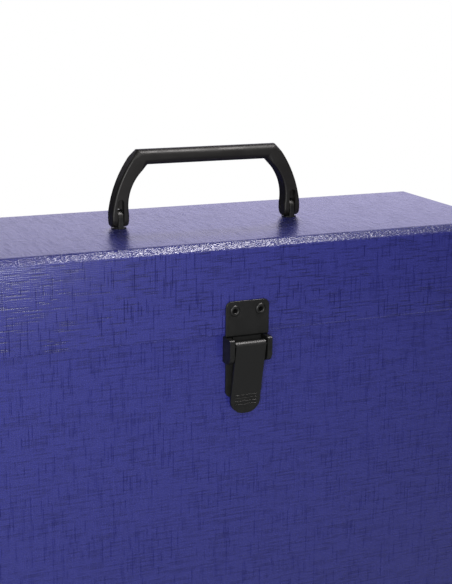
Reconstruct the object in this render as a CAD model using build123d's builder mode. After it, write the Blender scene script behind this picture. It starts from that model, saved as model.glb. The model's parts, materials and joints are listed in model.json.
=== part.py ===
from build123d import *
import os
from math import cos, radians, sin

# Archival box of covered greyboard, with a deep hinged lid, a lever latch and a carrying handle.
# Frame: millimetres, origin on the underside below the middle of the lid.
# +X runs along the length, +Z up, and the latch is on the front, which faces -Y.

# Driving dimensions: the box
LID_LENGTH = 370.0
LID_DEPTH = 128.0
BOX_HEIGHT = 275.0
SKIRT = 55.5  # height of the lid's four sides
BEVEL = 4.0  # flat edge all round the lid's top
BOARD = 2.5  # greyboard
COVER = 0.3  # embossed paper outside
LINING = 0.2  # plain paper inside
OVERLAP = 12.0  # how far the body's front and sides rise into the lid
FRONT_GAP = 1.1  # between the lid's front and the body's front
SIDE_GAP = 0.9
SEAM_GAP = 0.3  # between the lid's back and the body's back
LID_TURN_IN = 8.0  # paper folded up inside the lid's rim
BODY_TURN_IN_Z = 212.0  # where the body's folded-in paper ends and its lining starts
EDGE_ROUND = 0.9  # paper over the upright edges

# Driving dimensions: rivets and washers
RIVET_R = 1.8
RIVET_BORE_R = 1.2
RIVET_HEAD_R = 3.4
RIVET_HEAD_H = 0.9
RIVET_TAIL_R = 2.7
RIVET_TAIL_H = 0.6
RIVET_TAIL_TAPER = 0.4
HOLE_PLAY = 0.05
WASHER_R = 4.5
WASHER_T = 0.5

# Driving dimensions: handle
BAR_TOP = 48.0  # above the lid
BAR_BOTTOM = 38.6
BAR_TOP_HALF = 46.3  # half the bar's length, along its top edge
BAR_BOTTOM_HALF = 39.7
BAR_ROUND = 4.2
BAR_DEPTH = 9.8  # along Y
BAR_END_INSET = 0.6  # how far the bar stops inside the legs' outer corners
GRIP_DEPTH = 10.1  # the legs' depth, along Y
FOOT_X = 58.1
FOOT_OUT = 63.6
FOOT_IN = 52.6
FOOT_BOTTOM = 1.0
FOOT_FLAT = 0.3  # flat left across the rounded sole
LEG_ROUND = 1.3
LEG_STRAIGHT = 9.0  # the legs are straight below this height above the lid
LEG_BOW_OUT = (59.2, 26.6)  # points that the legs' outer and inner bows pass through
LEG_BOW_IN = (49.9, 27.2)
HANDLE_PIVOT = 6.6  # above the lid
HANDLE_PIN_R = 1.5
HANDLE_PIN_LENGTH = 10.4
SLOT_WIDTH = 4.2
SLOT_TOP = 18.3
SLOT_PLAY = 0.4  # above the lug, where the slot stops going through
SLOT_WEB = 1.6  # wall between the two blind pockets above the lug
LUG_T = 3.2
LUG_R = 5.0
LUG_BASE = (9.6, 8.4, 0.5)
LUG_BASE_ROUND = 4.0
LUG_SHANK_R = 2.5
LUG_HEAD_R = 4.0
LUG_HEAD_H = 1.2
LUG_HEAD_ROUND = 0.7
LUG_WASHER_R = 8.0
LUG_WASHER_T = 0.8

# Driving dimensions: latch, heights measured down from the lid's top
PLATE_WIDTH = 28.0
PLATE_TOP = 35.4
PLATE_SHOULDER = 57.0
PLATE_T = 1.4
PLATE_ROUND = 3.6
PLATE_RIVET_X = 8.3
PLATE_RIVET_DROP = 5.8
PLATE_EDGE_ROUND = 0.35
JOGGLE = 0.8  # how far the catch's tongue steps back
JOGGLE_START = 0.6  # below the seam
JOGGLE_RUN = 1.2
JOGGLE_EASE = 0.2  # the front of the step starts this much lower
TONGUE_WIDTH = 18.0
TONGUE_BELOW_PIN = 9.0
TONGUE_ROUND = 1.5
WINDOW = (10.0, -5.45, -1.2)  # width, and its bottom and top above the pin
LATCH_PIN_DROP = 62.0
LATCH_PIN_OUT = 8.8  # pin's distance in front of the body
LATCH_PIN_R = 1.2
RUNNING_PLAY = 0.05
EAR_TOP = 57.6
EAR_BOTTOM = 73.4
EAR_OUT = 11.6
EAR_X = (10.7, 13.8)
EAR_FRONT_ROUND = 6.0
EAR_TOP_ROUND = 1.5
EAR_ROOT = 0.2  # the ears start this far in front of the body
BASE_WIDTH = 23.8
BASE_BOTTOM = 96.2
BASE_ROUND = 4.0
BASE_RIVET_DROPS = (80.0, 90.5)
LEVER_WIDTH = 19.4
LEVER_T = 1.5
LEVER_SLOPE = 12.0  # degrees, its lower end nearer the box
LEVER_STRAIGHT = 34.0
LEVER_TIP = 106.3
LEVER_TIP_TURN = 0.5  # how far the last stretch leans towards the box
LEVER_ROUND = 8.6
TOOTH_WIDTH = 9.0
TOOTH_REACH = 6.45
TOOTH_ROOT = 0.6  # depth to which the tooth is sunk in the roll
TOOTH_DIP = 33.0  # degrees below level
RIB_DROPS = (94.6, 96.6, 98.6, 100.6)
RIB_R = 0.45
RIB_SUNK = 0.15  # the ribs' middles lie this far behind the lever's face
RIB_END = 2.6  # from the rib's end to the lever's side

# Driving dimensions: the two back hinges
HINGE_X = 112.0
HINGE_WIDTH = 42.0
LEAF_T = 1.0
LEAF_HEIGHT = 20.0
LEAF_ROUND = 3.0
KNUCKLE_R = 2.4
KNUCKLE_GAP = 0.3
HINGE_PIN_R = 1.2
HINGE_CLEAR = 0.3  # between the knuckle and the box
LEAF_RIVET_X = 13.0
LEAF_RIVET_Z = 13.0

# Worked out: the lid's and body's faces
SEAM_Z = BOX_HEIGHT - SKIRT
LID_X = LID_LENGTH / 2
LID_Y = LID_DEPTH / 2
RIM_WALL = COVER + BOARD + COVER
BODY_X = LID_X - RIM_WALL - SIDE_GAP
BODY_FRONT = -LID_Y + RIM_WALL + FRONT_GAP
BODY_BACK = LID_Y
BODY_TOP = SEAM_Z + OVERLAP
BACK_TOP = SEAM_Z - SEAM_GAP
SIDE_STEP_Y = LID_Y - RIM_WALL - FRONT_GAP  # where the body's sides step down for the lid's back
INNER_WALL = COVER + BOARD + LINING
THROUGH = 30.0  # longer than any wall is thick
RIVET_HOLE_R = RIVET_R + HOLE_PLAY

# Worked out: the boards, inside their paper
BOARD_X = BODY_X - COVER
BOARD_FRONT = BODY_FRONT + COVER
BOARD_BACK = BODY_BACK - COVER
BOARD_TOP = BODY_TOP - COVER
BACK_BOARD_TOP = BACK_TOP - COVER
SIDE_STEP_BOARD_Y = SIDE_STEP_Y - COVER
PAPER_BEVEL_STEP = COVER * (2 - 2**0.5)
LID_BOARD_X = LID_X - COVER
LID_BOARD_Y = LID_Y - COVER
LID_BOARD_TOP = BOX_HEIGHT - COVER
LID_INNER_TOP = LID_BOARD_TOP - BOARD
LID_RIM = SEAM_Z + COVER

# Worked out: axes
HINGE_Y = BODY_BACK + HINGE_CLEAR + KNUCKLE_R
HINGE_Z = SEAM_Z - SEAM_GAP / 2
LATCH_PIN_Y = BODY_FRONT - LATCH_PIN_OUT
LATCH_PIN_Z = BOX_HEIGHT - LATCH_PIN_DROP
PIVOT_Z = BOX_HEIGHT + HANDLE_PIVOT
BARREL_R = LATCH_PIN_R + RUNNING_PLAY + LEVER_T
CATCH_FACE = -LID_Y
TONGUE_END = LATCH_PIN_Z - TONGUE_BELOW_PIN
KNUCKLE_LENGTH = (HINGE_WIDTH - 2 * KNUCKLE_GAP) / 3
NOTCH = KNUCKLE_R + HINGE_CLEAR

# Worked out: rivet places, as points on their faces
CATCH_SPOTS = [(x, BOX_HEIGHT - PLATE_TOP - PLATE_RIVET_DROP) for x in (-PLATE_RIVET_X, PLATE_RIVET_X)]
BASE_SPOTS = [(0, BOX_HEIGHT - drop) for drop in BASE_RIVET_DROPS]
LEAF_XS = [side * HINGE_X + x for side in (-1, 1) for x in (-LEAF_RIVET_X, LEAF_RIVET_X)]
LID_LEAF_SPOTS = [(x, HINGE_Z + LEAF_RIVET_Z) for x in LEAF_XS]
BODY_LEAF_SPOTS = [(x, HINGE_Z - LEAF_RIVET_Z) for x in LEAF_XS]
LUG_SPOTS = [(-FOOT_X, 0), (FOOT_X, 0)]
FRONT_PLANE = Plane.XZ.offset(LID_Y)
BACK_PLANE = Plane.XZ.offset(-LID_Y)
TOP_PLANE = Plane.XY.offset(BOX_HEIGHT)

os.makedirs("parts", exist_ok=True)


def finish(builder, name):
    """Name a finished piece and write it."""
    builder.part.label = name
    export_step(builder.part, f"parts/{name}.step")


def block(low, high, mode=Mode.ADD):
    """A box between two opposite corners, in the part being built."""
    middle = tuple((a + b) / 2 for a, b in zip(low, high))
    with Locations(middle):
        Box(*(b - a for a, b in zip(low, high)), mode=mode)


def drill(plane, spots, radius):
    """Round holes at spots on a plane, through the part being built."""
    with BuildSketch(plane) as holes:
        with Locations(*spots):
            Circle(radius)
    extrude(holes.sketch, amount=THROUGH, both=True, mode=Mode.SUBTRACT)


def mirrored_names(stem):
    """The left and right names of a piece that is made twice, each with its side's sign."""
    return [(-1, f"{stem}_left"), (1, f"{stem}_right")]


# ---------------------------------------------------------------- body boards
with BuildPart() as body_front_board:
    block((-BOARD_X, BOARD_FRONT, COVER), (BOARD_X, BOARD_FRONT + BOARD, BOARD_TOP))
    drill(FRONT_PLANE, BASE_SPOTS, RIVET_HOLE_R)
finish(body_front_board, "body_front_board")

with BuildPart() as body_back_board:
    block((-BOARD_X, BOARD_BACK - BOARD, COVER), (BOARD_X, BOARD_BACK, BACK_BOARD_TOP))
    drill(BACK_PLANE, BODY_LEAF_SPOTS, RIVET_HOLE_R)
finish(body_back_board, "body_back_board")

for side, name in mirrored_names("body_side_board"):
    with BuildPart() as body_side_board:
        with BuildSketch(Plane.YZ.offset(side * BOARD_X)):
            with BuildLine():
                Polyline(
                    (BOARD_FRONT + BOARD, COVER),
                    (BOARD_BACK - BOARD, COVER),
                    (BOARD_BACK - BOARD, BACK_BOARD_TOP),
                    (SIDE_STEP_BOARD_Y, BACK_BOARD_TOP),
                    (SIDE_STEP_BOARD_Y, BOARD_TOP),
                    (BOARD_FRONT + BOARD, BOARD_TOP),
                    close=True,
                )
            make_face()
        extrude(amount=-side * BOARD)
    finish(body_side_board, name)

with BuildPart() as body_base_board:
    reach = BOARD_X - BOARD
    block((-reach, BOARD_FRONT + BOARD, COVER), (reach, BOARD_BACK - BOARD, COVER + BOARD))
finish(body_base_board, "body_base_board")

# ---------------------------------------------------------------- body paper
# The cover wraps the four walls, folds over their rims and turns in a little way down.
with BuildPart() as body_cover:
    block((-BODY_X, BODY_FRONT, 0), (BODY_X, BODY_BACK, BACK_TOP))
    block((-BODY_X, BODY_FRONT, BACK_TOP), (BODY_X, SIDE_STEP_Y, BODY_TOP))
    fillet(body_cover.edges().filter_by(Axis.Z).filter_by(lambda e: e.center().Z < BACK_TOP), EDGE_ROUND)
    inset = COVER + BOARD + COVER
    block(
        (-BODY_X + inset, BODY_FRONT + inset, 0),
        (BODY_X - inset, BODY_BACK - inset, BODY_TOP),
        mode=Mode.SUBTRACT,
    )
    inset = COVER + BOARD
    block(
        (-BODY_X + inset, BODY_FRONT + inset, 0),
        (BODY_X - inset, BODY_BACK - inset, BODY_TURN_IN_Z),
        mode=Mode.SUBTRACT,
    )
    for board in (body_front_board, body_back_board):
        add(board.part, mode=Mode.SUBTRACT)
    for side in (-1, 1):
        inner, outer = sorted((side * (BOARD_X - BOARD), side * BOARD_X))
        block((inner, BOARD_FRONT, 0), (outer, BOARD_BACK, BACK_BOARD_TOP), mode=Mode.SUBTRACT)
        block((inner, BOARD_FRONT, 0), (outer, SIDE_STEP_BOARD_Y, BOARD_TOP), mode=Mode.SUBTRACT)
    block((-BOARD_X, BOARD_FRONT, 0), (BOARD_X, BOARD_BACK, COVER), mode=Mode.SUBTRACT)
    drill(FRONT_PLANE, BASE_SPOTS, RIVET_HOLE_R)
    drill(BACK_PLANE, BODY_LEAF_SPOTS, RIVET_HOLE_R)
finish(body_cover, "body_cover")

with BuildPart() as base_cover:
    block((-BOARD_X, BOARD_FRONT, 0), (BOARD_X, BOARD_BACK, COVER))
finish(base_cover, "base_cover")

with BuildPart() as body_lining:
    inset = COVER + BOARD
    floor_z = COVER + BOARD
    block(
        (-BODY_X + inset, BODY_FRONT + inset, floor_z),
        (BODY_X - inset, BODY_BACK - inset, BODY_TURN_IN_Z),
    )
    inset = INNER_WALL
    block(
        (-BODY_X + inset, BODY_FRONT + inset, floor_z + LINING),
        (BODY_X - inset, BODY_BACK - inset, BODY_TURN_IN_Z),
        mode=Mode.SUBTRACT,
    )
    drill(FRONT_PLANE, BASE_SPOTS, RIVET_HOLE_R)
    drill(BACK_PLANE, BODY_LEAF_SPOTS, RIVET_HOLE_R)
finish(body_lining, "body_lining")

# ---------------------------------------------------------------- lid boards
# Each board is cut from one bevelled block, so that the bevel runs on from board to board.
with BuildPart() as lid_block:
    block(
        (-LID_X + COVER, -LID_Y + COVER, SEAM_Z + COVER),
        (LID_X - COVER, LID_Y - COVER, BOX_HEIGHT - COVER),
    )
    chamfer(lid_block.faces().sort_by(Axis.Z)[-1].edges(), BEVEL - PAPER_BEVEL_STEP)

with BuildPart() as lid_top_board:
    block((-LID_BOARD_X, -LID_BOARD_Y, LID_INNER_TOP), (LID_BOARD_X, LID_BOARD_Y, LID_BOARD_TOP))
    add(lid_block.part, mode=Mode.INTERSECT)
    drill(TOP_PLANE, LUG_SPOTS, LUG_SHANK_R + HOLE_PLAY)
finish(lid_top_board, "lid_top_board")

with BuildPart() as lid_front_board:
    block((-LID_BOARD_X, -LID_BOARD_Y, LID_RIM), (LID_BOARD_X, -LID_BOARD_Y + BOARD, LID_INNER_TOP))
    add(lid_block.part, mode=Mode.INTERSECT)
    drill(FRONT_PLANE, CATCH_SPOTS, RIVET_HOLE_R)
finish(lid_front_board, "lid_front_board")

with BuildPart() as lid_back_board:
    block((-LID_BOARD_X, LID_BOARD_Y - BOARD, LID_RIM), (LID_BOARD_X, LID_BOARD_Y, LID_INNER_TOP))
    add(lid_block.part, mode=Mode.INTERSECT)
    drill(BACK_PLANE, LID_LEAF_SPOTS, RIVET_HOLE_R)
finish(lid_back_board, "lid_back_board")

for side, name in mirrored_names("lid_side_board"):
    inner, outer = sorted((side * (LID_BOARD_X - BOARD), side * LID_BOARD_X))
    depth = LID_BOARD_Y - BOARD
    with BuildPart() as lid_side_board:
        block((inner, -depth, LID_RIM), (outer, depth, LID_INNER_TOP))
        add(lid_block.part, mode=Mode.INTERSECT)
    finish(lid_side_board, name)

# ---------------------------------------------------------------- lid paper
with BuildPart() as lid_cover:
    block((-LID_X, -LID_Y, SEAM_Z), (LID_X, LID_Y, BOX_HEIGHT))
    chamfer(lid_cover.faces().sort_by(Axis.Z)[-1].edges(), BEVEL)
    fillet(lid_cover.edges().filter_by(Axis.Z), EDGE_ROUND)
    inset = COVER + BOARD + COVER
    block(
        (-LID_X + inset, -LID_Y + inset, SEAM_Z),
        (LID_X - inset, LID_Y - inset, SEAM_Z + LID_TURN_IN),
        mode=Mode.SUBTRACT,
    )
    inset = COVER + BOARD
    block(
        (-LID_X + inset, -LID_Y + inset, SEAM_Z + LID_TURN_IN),
        (LID_X - inset, LID_Y - inset, LID_INNER_TOP),
        mode=Mode.SUBTRACT,
    )
    for board in (lid_top_board, lid_front_board, lid_back_board):
        add(board.part, mode=Mode.SUBTRACT)
    for side in (-1, 1):
        inner, outer = sorted((side * (LID_BOARD_X - BOARD), side * LID_BOARD_X))
        with BuildSketch(Plane.XZ) as end:
            with BuildLine():
                step = BEVEL - PAPER_BEVEL_STEP - BOARD
                Polyline(
                    (side * (LID_BOARD_X - BOARD), LID_RIM),
                    (side * LID_BOARD_X, LID_RIM),
                    (side * LID_BOARD_X, LID_INNER_TOP - step),
                    (side * (LID_BOARD_X - step), LID_INNER_TOP),
                    (side * (LID_BOARD_X - BOARD), LID_INNER_TOP),
                    close=True,
                )
            make_face()
        extrude(end.sketch, amount=LID_BOARD_Y - BOARD, both=True, mode=Mode.SUBTRACT)
    drill(TOP_PLANE, LUG_SPOTS, LUG_SHANK_R + HOLE_PLAY)
    drill(FRONT_PLANE, CATCH_SPOTS, RIVET_HOLE_R)
    drill(BACK_PLANE, LID_LEAF_SPOTS, RIVET_HOLE_R)
finish(lid_cover, "lid_cover")

with BuildPart() as lid_lining:
    inset = COVER + BOARD
    block(
        (-LID_X + inset, -LID_Y + inset, SEAM_Z + LID_TURN_IN),
        (LID_X - inset, LID_Y - inset, LID_INNER_TOP),
    )
    inset = INNER_WALL
    block(
        (-LID_X + inset, -LID_Y + inset, SEAM_Z + LID_TURN_IN),
        (LID_X - inset, LID_Y - inset, LID_INNER_TOP - LINING),
        mode=Mode.SUBTRACT,
    )
    drill(TOP_PLANE, LUG_SPOTS, LUG_SHANK_R + HOLE_PLAY)
    drill(FRONT_PLANE, CATCH_SPOTS, RIVET_HOLE_R)
    drill(BACK_PLANE, LID_LEAF_SPOTS, RIVET_HOLE_R)
finish(lid_lining, "lid_lining")

# ---------------------------------------------------------------- handle
# One moulding: a rounded bar between two bowed legs, whose forked feet straddle the lugs.
with BuildPart() as handle:
    for side in (-1, 1):
        with BuildSketch(Plane.XZ):
            with BuildLine():
                corner = (side * BAR_TOP_HALF, BOX_HEIGHT + BAR_TOP)
                inner_corner = (side * BAR_BOTTOM_HALF, BOX_HEIGHT + BAR_BOTTOM)
                outer_foot = (side * FOOT_OUT, BOX_HEIGHT + LEG_STRAIGHT)
                inner_foot = (side * FOOT_IN, BOX_HEIGHT + LEG_STRAIGHT)
                sole = BOX_HEIGHT + FOOT_BOTTOM
                ThreePointArc(outer_foot, (side * LEG_BOW_OUT[0], BOX_HEIGHT + LEG_BOW_OUT[1]), corner)
                Line(corner, inner_corner)
                ThreePointArc(inner_corner, (side * LEG_BOW_IN[0], BOX_HEIGHT + LEG_BOW_IN[1]), inner_foot)
                Polyline(inner_foot, (side * FOOT_IN, sole), (side * FOOT_OUT, sole), outer_foot)
            make_face()
        extrude(amount=GRIP_DEPTH / 2, both=True)
    feet = handle.edges().filter_by(Axis.X).group_by(Axis.Z)[0]
    fillet(feet, (GRIP_DEPTH - FOOT_FLAT) / 2)
    bowed = handle.edges().filter_by(GeomType.CIRCLE).filter_by(lambda e: e.radius > GRIP_DEPTH)
    fillet(bowed, LEG_ROUND)
    middle = BOX_HEIGHT + (BAR_TOP + BAR_BOTTOM) / 2
    bar_half = BAR_TOP_HALF - BAR_END_INSET
    with BuildSketch(Plane.YZ) as bar_section:
        with Locations((0, middle)):
            RectangleRounded(BAR_DEPTH, BAR_TOP - BAR_BOTTOM, BAR_ROUND)
    extrude(bar_section.sketch, amount=bar_half, both=True)
    for side in (-1, 1):
        slot_side = SLOT_WIDTH / 2
        slot_high = BOX_HEIGHT + SLOT_TOP - slot_side
        with BuildSketch(Plane.XZ) as slot:
            with BuildLine():
                left = (side * FOOT_X - slot_side, slot_high)
                right = (side * FOOT_X + slot_side, slot_high)
                ThreePointArc(left, (side * FOOT_X, BOX_HEIGHT + SLOT_TOP), right)
                Polyline(right, (right[0], BOX_HEIGHT), (left[0], BOX_HEIGHT), left)
            make_face()
        extrude(slot.sketch, amount=GRIP_DEPTH, both=True, mode=Mode.SUBTRACT)
        web_low = PIVOT_Z + LUG_R + SLOT_PLAY
        block(
            (side * FOOT_X - slot_side - SLOT_WEB, -SLOT_WEB / 2, web_low),
            (side * FOOT_X + slot_side + SLOT_WEB, SLOT_WEB / 2, BOX_HEIGHT + SLOT_TOP),
        )
    with BuildSketch(Plane.YZ) as pin_hole:
        with Locations((0, PIVOT_Z)):
            Circle(HANDLE_PIN_R)
    extrude(pin_hole.sketch, amount=LID_X, both=True, mode=Mode.SUBTRACT)
finish(handle, "handle")

for side, name in mirrored_names("handle_lug"):
    with BuildPart() as handle_lug:
        with BuildSketch(Plane.YZ.offset(side * FOOT_X)) as tab:
            with BuildLine():
                ThreePointArc((-LUG_R, PIVOT_Z), (0, PIVOT_Z + LUG_R), (LUG_R, PIVOT_Z))
                Polyline((LUG_R, PIVOT_Z), (LUG_R, BOX_HEIGHT), (-LUG_R, BOX_HEIGHT), (-LUG_R, PIVOT_Z))
            make_face()
            with Locations((0, PIVOT_Z)):
                Circle(HANDLE_PIN_R + RUNNING_PLAY, mode=Mode.SUBTRACT)
        extrude(tab.sketch, amount=LUG_T / 2, both=True)
        with BuildSketch(TOP_PLANE) as foot_plate:
            with Locations((side * FOOT_X, 0)):
                RectangleRounded(LUG_BASE[0], LUG_BASE[1], LUG_BASE_ROUND)
        extrude(foot_plate.sketch, amount=LUG_BASE[2])
        tail_z = BOX_HEIGHT - INNER_WALL - LUG_WASHER_T
        with BuildSketch(TOP_PLANE) as shank:
            with Locations((side * FOOT_X, 0)):
                Circle(LUG_SHANK_R)
        extrude(shank.sketch, amount=tail_z - BOX_HEIGHT)
        with BuildSketch(Plane.XY.offset(tail_z)) as upset:
            with Locations((side * FOOT_X, 0)):
                Circle(LUG_HEAD_R)
        extrude(upset.sketch, amount=-LUG_HEAD_H)
        fillet(handle_lug.faces().sort_by(Axis.Z)[0].edges(), LUG_HEAD_ROUND)
    finish(handle_lug, name)

with BuildPart() as handle_washers:
    with BuildSketch(Plane.XY.offset(BOX_HEIGHT - INNER_WALL)):
        with Locations(*LUG_SPOTS):
            Circle(LUG_WASHER_R)
            Circle(LUG_SHANK_R + HOLE_PLAY, mode=Mode.SUBTRACT)
    extrude(amount=-LUG_WASHER_T)
finish(handle_washers, "handle_washers")

for side, name in mirrored_names("handle_pin"):
    with BuildPart() as handle_pin:
        with BuildSketch(Plane.YZ.offset(side * FOOT_X)):
            with Locations((0, PIVOT_Z)):
                Circle(HANDLE_PIN_R)
        extrude(amount=HANDLE_PIN_LENGTH / 2, both=True)
    finish(handle_pin, name)

# ---------------------------------------------------------------- latch catch, on the lid
with BuildPart() as catch_plate:
    with BuildSketch(Plane.YZ):
        with BuildLine():
            bend = SEAM_Z - JOGGLE_START
            below = bend - JOGGLE_RUN
            Polyline(
                (CATCH_FACE, BOX_HEIGHT - PLATE_TOP),
                (CATCH_FACE, bend),
                (CATCH_FACE + JOGGLE, below),
                (CATCH_FACE + JOGGLE, TONGUE_END),
                (CATCH_FACE + JOGGLE - PLATE_T, TONGUE_END),
                (CATCH_FACE + JOGGLE - PLATE_T, below - JOGGLE_EASE),
                (CATCH_FACE - PLATE_T, bend - JOGGLE_EASE),
                (CATCH_FACE - PLATE_T, BOX_HEIGHT - PLATE_TOP),
                close=True,
            )
        make_face()
    extrude(amount=PLATE_WIDTH / 2, both=True)
    fillet(catch_plate.edges().filter_by(Axis.Y).group_by(Axis.Z)[-1], PLATE_ROUND)
    for side in (-1, 1):
        inner, outer = sorted((side * TONGUE_WIDTH / 2, side * PLATE_WIDTH))
        block(
            (inner, CATCH_FACE - THROUGH / 2, 0),
            (outer, CATCH_FACE + THROUGH / 2, BOX_HEIGHT - PLATE_SHOULDER),
            mode=Mode.SUBTRACT,
        )
    fillet(catch_plate.edges().filter_by(Axis.Y).group_by(Axis.Z)[0], TONGUE_ROUND)
    width, low, high = WINDOW
    block(
        (-width / 2, CATCH_FACE - THROUGH / 2, LATCH_PIN_Z + low),
        (width / 2, CATCH_FACE + THROUGH / 2, LATCH_PIN_Z + high),
        mode=Mode.SUBTRACT,
    )
    drill(FRONT_PLANE, CATCH_SPOTS, RIVET_HOLE_R)
    front_outline = catch_plate.faces().filter_by(Axis.Y).sort_by(Axis.Y)[0].outer_wire()
    fillet(front_outline.edges(), PLATE_EDGE_ROUND)
finish(catch_plate, "catch_plate")

# ---------------------------------------------------------------- latch bracket, on the body
with BuildPart() as latch_bracket:
    with BuildSketch(Plane.XZ.offset(-BODY_FRONT)) as base_outline:
        middle = BOX_HEIGHT - (EAR_TOP + BASE_BOTTOM) / 2
        with Locations((0, middle)):
            RectangleRounded(BASE_WIDTH, BASE_BOTTOM - EAR_TOP, BASE_ROUND)
    extrude(base_outline.sketch, amount=PLATE_T)
    for side in (-1, 1):
        with BuildSketch(Plane.YZ.offset(side * EAR_X[0])) as ear:
            with BuildLine():
                root = BODY_FRONT - EAR_ROOT
                front = BODY_FRONT - EAR_OUT
                top = BOX_HEIGHT - EAR_TOP
                bottom = BOX_HEIGHT - EAR_BOTTOM
                FilletPolyline(
                    (root, top),
                    (front, top),
                    (front, bottom),
                    (root, bottom),
                    radius=[EAR_TOP_ROUND, EAR_FRONT_ROUND],
                )
                Line((root, bottom), (root, top))
            make_face()
        extrude(ear.sketch, amount=side * (EAR_X[1] - EAR_X[0]))
    with BuildSketch(Plane.YZ) as pin_bore:
        with Locations((LATCH_PIN_Y, LATCH_PIN_Z)):
            Circle(LATCH_PIN_R)
    extrude(pin_bore.sketch, amount=PLATE_WIDTH, both=True, mode=Mode.SUBTRACT)
    drill(FRONT_PLANE, BASE_SPOTS, RIVET_HOLE_R)
finish(latch_bracket, "latch_bracket")

with BuildPart() as latch_pin:
    with BuildSketch(Plane.YZ):
        with Locations((LATCH_PIN_Y, LATCH_PIN_Z)):
            Circle(LATCH_PIN_R)
    extrude(amount=EAR_X[1], both=True)
finish(latch_pin, "latch_pin")

# ---------------------------------------------------------------- latch lever
# Sheet steel rolled round the pin. Its tail is a tooth that stands in the catch's window.
slope = radians(LEVER_SLOPE)
dip = radians(TOOTH_DIP)
lever_start = (LATCH_PIN_Y - BARREL_R * cos(slope), LATCH_PIN_Z - BARREL_R * sin(slope))
lever_knee = (
    lever_start[0] + LEVER_STRAIGHT * sin(slope),
    lever_start[1] - LEVER_STRAIGHT * cos(slope),
)
lever_tip = (lever_knee[0] + LEVER_TIP_TURN, BOX_HEIGHT - LEVER_TIP)

with BuildPart() as latch_lever:
    with BuildSketch(Plane.YZ) as lever_side:
        with BuildLine():
            Polyline(
                lever_start,
                lever_knee,
                lever_tip,
                (lever_tip[0] + LEVER_T, lever_tip[1]),
                (lever_knee[0] + LEVER_T, lever_knee[1]),
                (lever_start[0] + LEVER_T * cos(slope), lever_start[1] + LEVER_T * sin(slope)),
                close=True,
            )
        make_face()
        with Locations((LATCH_PIN_Y, LATCH_PIN_Z)):
            Circle(BARREL_R)
            Circle(LATCH_PIN_R + RUNNING_PLAY, mode=Mode.SUBTRACT)
    extrude(lever_side.sketch, amount=LEVER_WIDTH / 2, both=True)
    with BuildSketch(Plane.YZ) as tooth:
        start = BARREL_R - TOOTH_ROOT
        half = LEVER_T / 2
        with BuildLine():
            Polyline(
                *[
                    (
                        LATCH_PIN_Y + out * cos(dip) + up * sin(dip),
                        LATCH_PIN_Z - out * sin(dip) + up * cos(dip),
                    )
                    for out, up in (
                        (start, -half),
                        (TOOTH_REACH, -half),
                        (TOOTH_REACH, half),
                        (start, half),
                    )
                ],
                close=True,
            )
        make_face()
    extrude(tooth.sketch, amount=TOOTH_WIDTH / 2, both=True)
    tip_edges = latch_lever.edges().filter_by(Axis.Y).group_by(Axis.Z)[0]
    fillet(tip_edges, LEVER_ROUND)
    for drop in RIB_DROPS:
        share = (drop - (BOX_HEIGHT - lever_start[1])) / (lever_start[1] - lever_knee[1])
        rib_y = lever_start[0] + min(share, 1) * (lever_knee[0] - lever_start[0]) + RIB_SUNK
        with BuildSketch(Plane.YZ) as rib:
            with Locations((rib_y, BOX_HEIGHT - drop)):
                Circle(RIB_R)
        extrude(rib.sketch, amount=LEVER_WIDTH / 2 - RIB_END, both=True)
finish(latch_lever, "latch_lever")

# ---------------------------------------------------------------- hinges
def hinge_leaf(middle_x, up, knuckles, bore_r):
    """A leaf on the box's back: up is +1 on the lid, -1 on the body; knuckles are their middles."""
    with BuildSketch(BACK_PLANE) as outline:
        with Locations((middle_x, HINGE_Z + up * LEAF_HEIGHT / 2)):
            Rectangle(HINGE_WIDTH, LEAF_HEIGHT)
        corners = outline.vertices().group_by(Axis.Z)[-1 if up > 0 else 0]
        fillet(corners, LEAF_ROUND)
        others = [x for x in (-1, 0, 1) if x not in knuckles]
        for x in others:
            with Locations((middle_x + x * (KNUCKLE_LENGTH + KNUCKLE_GAP), HINGE_Z)):
                Rectangle(KNUCKLE_LENGTH + 2 * KNUCKLE_GAP, 2 * NOTCH, mode=Mode.SUBTRACT)
    extrude(outline.sketch, amount=-LEAF_T)
    for x in knuckles:
        place = middle_x + x * (KNUCKLE_LENGTH + KNUCKLE_GAP)
        with BuildSketch(Plane.YZ.offset(place)) as knuckle:
            with Locations((HINGE_Y, HINGE_Z)):
                Circle(KNUCKLE_R)
                Circle(bore_r, mode=Mode.SUBTRACT)
        extrude(knuckle.sketch, amount=KNUCKLE_LENGTH / 2, both=True)


for side, name in mirrored_names("hinge_lid_leaf"):
    with BuildPart() as lid_leaf:
        hinge_leaf(side * HINGE_X, 1, (0,), HINGE_PIN_R + RUNNING_PLAY)
        drill(BACK_PLANE, LID_LEAF_SPOTS, RIVET_HOLE_R)
    finish(lid_leaf, name)

for side, name in mirrored_names("hinge_body_leaf"):
    with BuildPart() as body_leaf:
        hinge_leaf(side * HINGE_X, -1, (-1, 1), HINGE_PIN_R)
        drill(BACK_PLANE, BODY_LEAF_SPOTS, RIVET_HOLE_R)
    finish(body_leaf, name)

for side, name in mirrored_names("hinge_pin"):
    with BuildPart() as hinge_pin:
        with BuildSketch(Plane.YZ.offset(side * HINGE_X)):
            with Locations((HINGE_Y, HINGE_Z)):
                Circle(HINGE_PIN_R)
        extrude(amount=HINGE_WIDTH / 2, both=True)
    finish(hinge_pin, name)


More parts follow.
